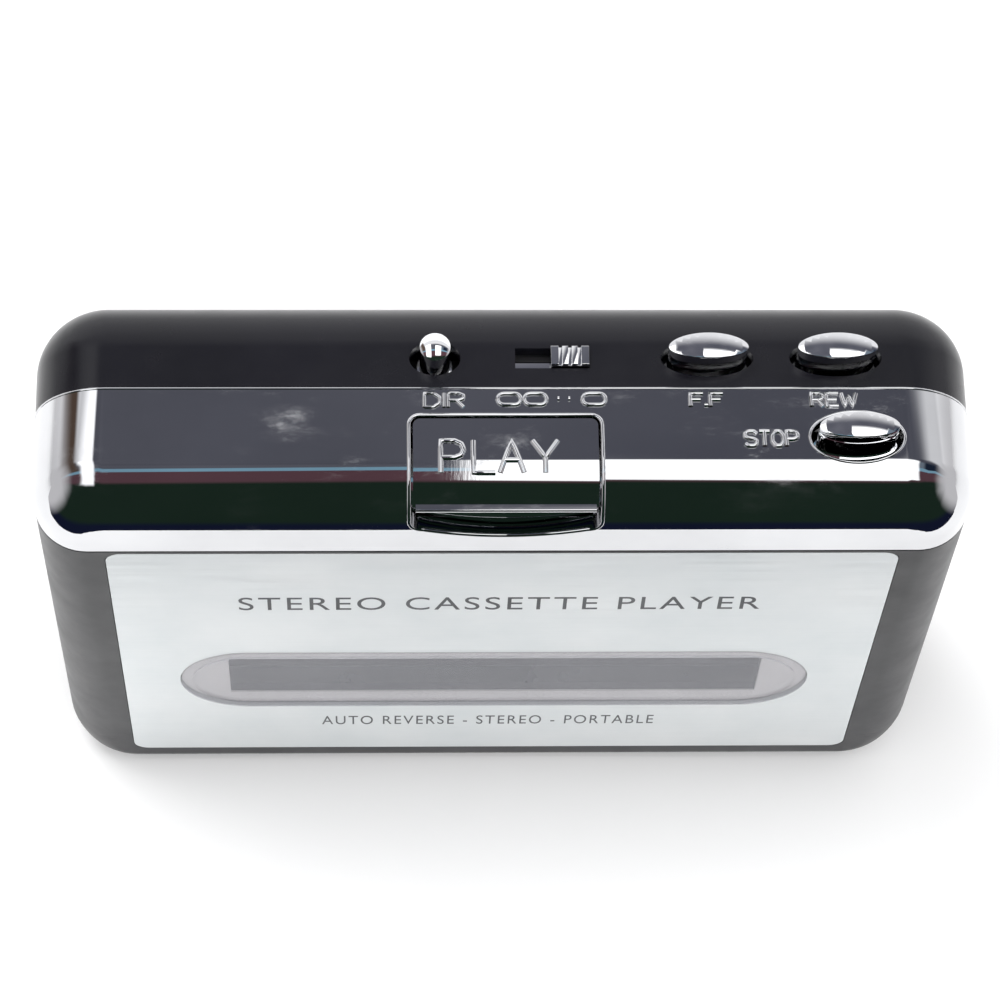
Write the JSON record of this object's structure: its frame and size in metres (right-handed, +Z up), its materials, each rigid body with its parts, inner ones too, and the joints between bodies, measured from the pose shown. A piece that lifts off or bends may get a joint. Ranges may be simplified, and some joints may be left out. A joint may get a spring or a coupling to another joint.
{
  "type": "cassette player",
  "caption": "Pocket stereo cassette player with chrome top trim, silver windowed door that hinges open, top keys, sprung reels and a belt-driven deck inside.",
  "frame": {"origin": "centre of the flat base that the player stands on", "axes": "+X along the width to the right, +Y from the cassette door to the back, +Z up"},
  "size_m": [0.115, 0.0302, 0.0856],
  "materials": {
    "shell_black": "satin",
    "door_grey": "satin",
    "chrome_plate": "polished",
    "panel_silver": "fine satin",
    "lens_clear": "clear gloss",
    "mask_grey": "smooth",
    "steel": "brushed",
    "spring_steel": "bright",
    "zinc_screw": "zinc plated",
    "white_plastic": "moulded",
    "black_plastic": "moulded",
    "brass": "turned",
    "rubber_black": "matt",
    "board_green": "solder mask",
    "part_black": "moulded",
    "cell_sleeve": "printed sleeve",
    "motor_can": "drawn can"
  },
  "bodies": {
    "housing": {"rear_shell": "shell_black", "chrome_trim": "chrome_plate", "deck_plate": "steel", "battery_frame": "black_plastic", "flywheel_bridge": "steel", "key_guide": "black_plastic", "reel_bracket": "steel", "idle_gear_stud": "steel", "capstan_bushes": "brass", "motor": "motor_can", "motor_standoffs": "brass", "belt_idler_post": "steel", "drive_belt": "rubber_black", "mode_switch_body": "black_plastic", "main_board": "board_green", "board_parts": "part_black", "battery_cells": "cell_sleeve", "battery_spring": "spring_steel", "battery_contact": "spring_steel", "headphone_jack": "black_plastic", "usb_socket": "steel", "volume_pot": "black_plastic", "case_screws": "zinc_screw", "deck_screws": "zinc_screw", "guide_pins": "steel"},
    "door": {"door_frame": "door_grey", "door_plate": "panel_silver", "window_lens": "lens_clear", "window_mask": "mask_grey", "door_hinge_pins": "steel", "cassette_guides": "black_plastic", "pressure_springs": "spring_steel", "door_latches": "black_plastic"},
    "head_carriage": {"head_plate": "steel", "tape_head": "steel", "head_mount": "brass", "head_screws": "zinc_screw"},
    "pinch_left": {"pinch_arm_left": "steel"},
    "pinch_right": {"pinch_arm_right": "steel"},
    "roller_left": {"pinch_roller_left": "rubber_black"},
    "roller_right": {"pinch_roller_right": "rubber_black"},
    "play": {"play_key": "chrome_plate"},
    "stop": {"stop_key": "chrome_plate"},
    "wind": {"wind_key": "chrome_plate"},
    "rewind": {"rewind_key": "chrome_plate"},
    "direction": {"direction_key": "chrome_plate"},
    "mode": {"mode_knob": "chrome_plate"},
    "volume": {"volume_wheel": "black_plastic"},
    "cover": {"battery_cover": "shell_black"},
    "reel_left": {"reel_hub_left": "white_plastic", "reel_gear_left": "white_plastic"},
    "reel_right": {"reel_hub_right": "white_plastic", "reel_gear_right": "white_plastic"},
    "idle_wheel": {"idle_gear": "white_plastic"},
    "capstan_unit_left": {"flywheel_left": "brass", "capstan_left": "steel"},
    "capstan_unit_right": {"flywheel_right": "brass", "capstan_right": "steel"},
    "motor_rotor": {"motor_pulley": "brass"},
    "belt_wheel": {"belt_idler": "white_plastic"}
  },
  "joints": [
    {"name": "door_hinge", "type": "hinge", "parent": "housing", "child": "door", "pos_m": [0, -0.0112, 0.0064], "axis": [1, 0, 0], "range_deg": [0, 45]},
    {"name": "head_slide", "type": "slide", "parent": "housing", "child": "head_carriage", "axis": [0, 0, -1], "range_m": [0, 0.0045], "stiffness_N_per_m": 150, "springref_m": -0.0025},
    {"name": "play_press", "type": "slide", "parent": "housing", "child": "play", "axis": [0, 0, -1], "range_m": [0, 0.0022]},
    {"name": "pinch_swing_left", "type": "hinge", "parent": "head_carriage", "child": "pinch_left", "pos_m": [-0.032, -0.0018, 0.071], "axis": [0, -1, 0], "range_deg": [0, 5], "stiffness_Nm_per_rad": 0.02, "springref_deg": -5.73},
    {"name": "pinch_swing_right", "type": "hinge", "parent": "head_carriage", "child": "pinch_right", "pos_m": [0.032, -0.0018, 0.071], "axis": [0, 1, 0], "range_deg": [0, 5], "stiffness_Nm_per_rad": 0.02, "springref_deg": -5.73},
    {"name": "roller_spin_left", "type": "hinge", "parent": "pinch_left", "child": "roller_left", "pos_m": [-0.022, -0.006, 0.0686], "axis": [0, 1, 0], "continuous": true},
    {"name": "roller_spin_right", "type": "hinge", "parent": "pinch_right", "child": "roller_right", "pos_m": [0.022, -0.006, 0.0686], "axis": [0, 1, 0], "continuous": true},
    {"name": "stop_press", "type": "slide", "parent": "housing", "child": "stop", "axis": [0, 0, -1], "range_m": [0, 0.0025], "stiffness_N_per_m": 200, "springref_m": -0.001},
    {"name": "wind_press", "type": "slide", "parent": "housing", "child": "wind", "axis": [0, 0, -1], "range_m": [0, 0.0025], "stiffness_N_per_m": 200, "springref_m": -0.001},
    {"name": "rewind_press", "type": "slide", "parent": "housing", "child": "rewind", "axis": [0, 0, -1], "range_m": [0, 0.0025], "stiffness_N_per_m": 200, "springref_m": -0.001},
    {"name": "direction_press", "type": "slide", "parent": "housing", "child": "direction", "axis": [0, 0, -1], "range_m": [0, 0.0025], "stiffness_N_per_m": 200, "springref_m": -0.001},
    {"name": "mode_slide", "type": "slide", "parent": "housing", "child": "mode", "axis": [-1, 0, 0], "range_m": [0, 0.0042]},
    {"name": "volume_turn", "type": "hinge", "parent": "housing", "child": "volume", "pos_m": [-0.0496, 0.0072, 0.05], "axis": [0, 1, 0], "range_deg": [-135, 135]},
    {"name": "cover_pull", "type": "slide", "parent": "housing", "child": "cover", "axis": [0, 1, 0], "range_m": [0, 0.02]},
    {"name": "reel_spin_left", "type": "hinge", "parent": "housing", "child": "reel_left", "pos_m": [-0.02125, 0.0022, 0.0315], "axis": [0, 1, 0], "continuous": true},
    {"name": "reel_spin_right", "type": "hinge", "parent": "housing", "child": "reel_right", "pos_m": [0.02125, 0.0022, 0.0315], "axis": [0, 1, 0], "continuous": true},
    {"name": "idle_spin", "type": "hinge", "parent": "housing", "child": "idle_wheel", "pos_m": [0.02169, 0.0022, 0.048], "axis": [0, 1, 0], "continuous": true},
    {"name": "flywheel_spin_left", "type": "hinge", "parent": "housing", "child": "capstan_unit_left", "pos_m": [-0.022, 0.005, 0.0595], "axis": [0, 1, 0], "continuous": true},
    {"name": "flywheel_spin_right", "type": "hinge", "parent": "housing", "child": "capstan_unit_right", "pos_m": [0.022, 0.005, 0.0595], "axis": [0, 1, 0], "continuous": true},
    {"name": "motor_spin", "type": "hinge", "parent": "housing", "child": "motor_rotor", "pos_m": [0.0425, 0.005, 0.03], "axis": [0, 1, 0], "continuous": true},
    {"name": "belt_wheel_spin", "type": "hinge", "parent": "housing", "child": "belt_wheel", "pos_m": [0.045, 0.0042, 0.064], "axis": [0, 1, 0], "continuous": true}
  ],
  "couplings": [
    {"joint": "play_press", "follows": "head_slide", "ratio": 0.48889},
    {"joint": "flywheel_spin_left", "follows": "flywheel_spin_right", "ratio": -1},
    {"joint": "idle_spin", "follows": "flywheel_spin_right", "ratio": -0.53333},
    {"joint": "reel_spin_right", "follows": "flywheel_spin_right", "ratio": 0.44444},
    {"joint": "motor_spin", "follows": "flywheel_spin_right", "ratio": -5},
    {"joint": "belt_wheel_spin", "follows": "flywheel_spin_right", "ratio": -4.5833}
  ]
}
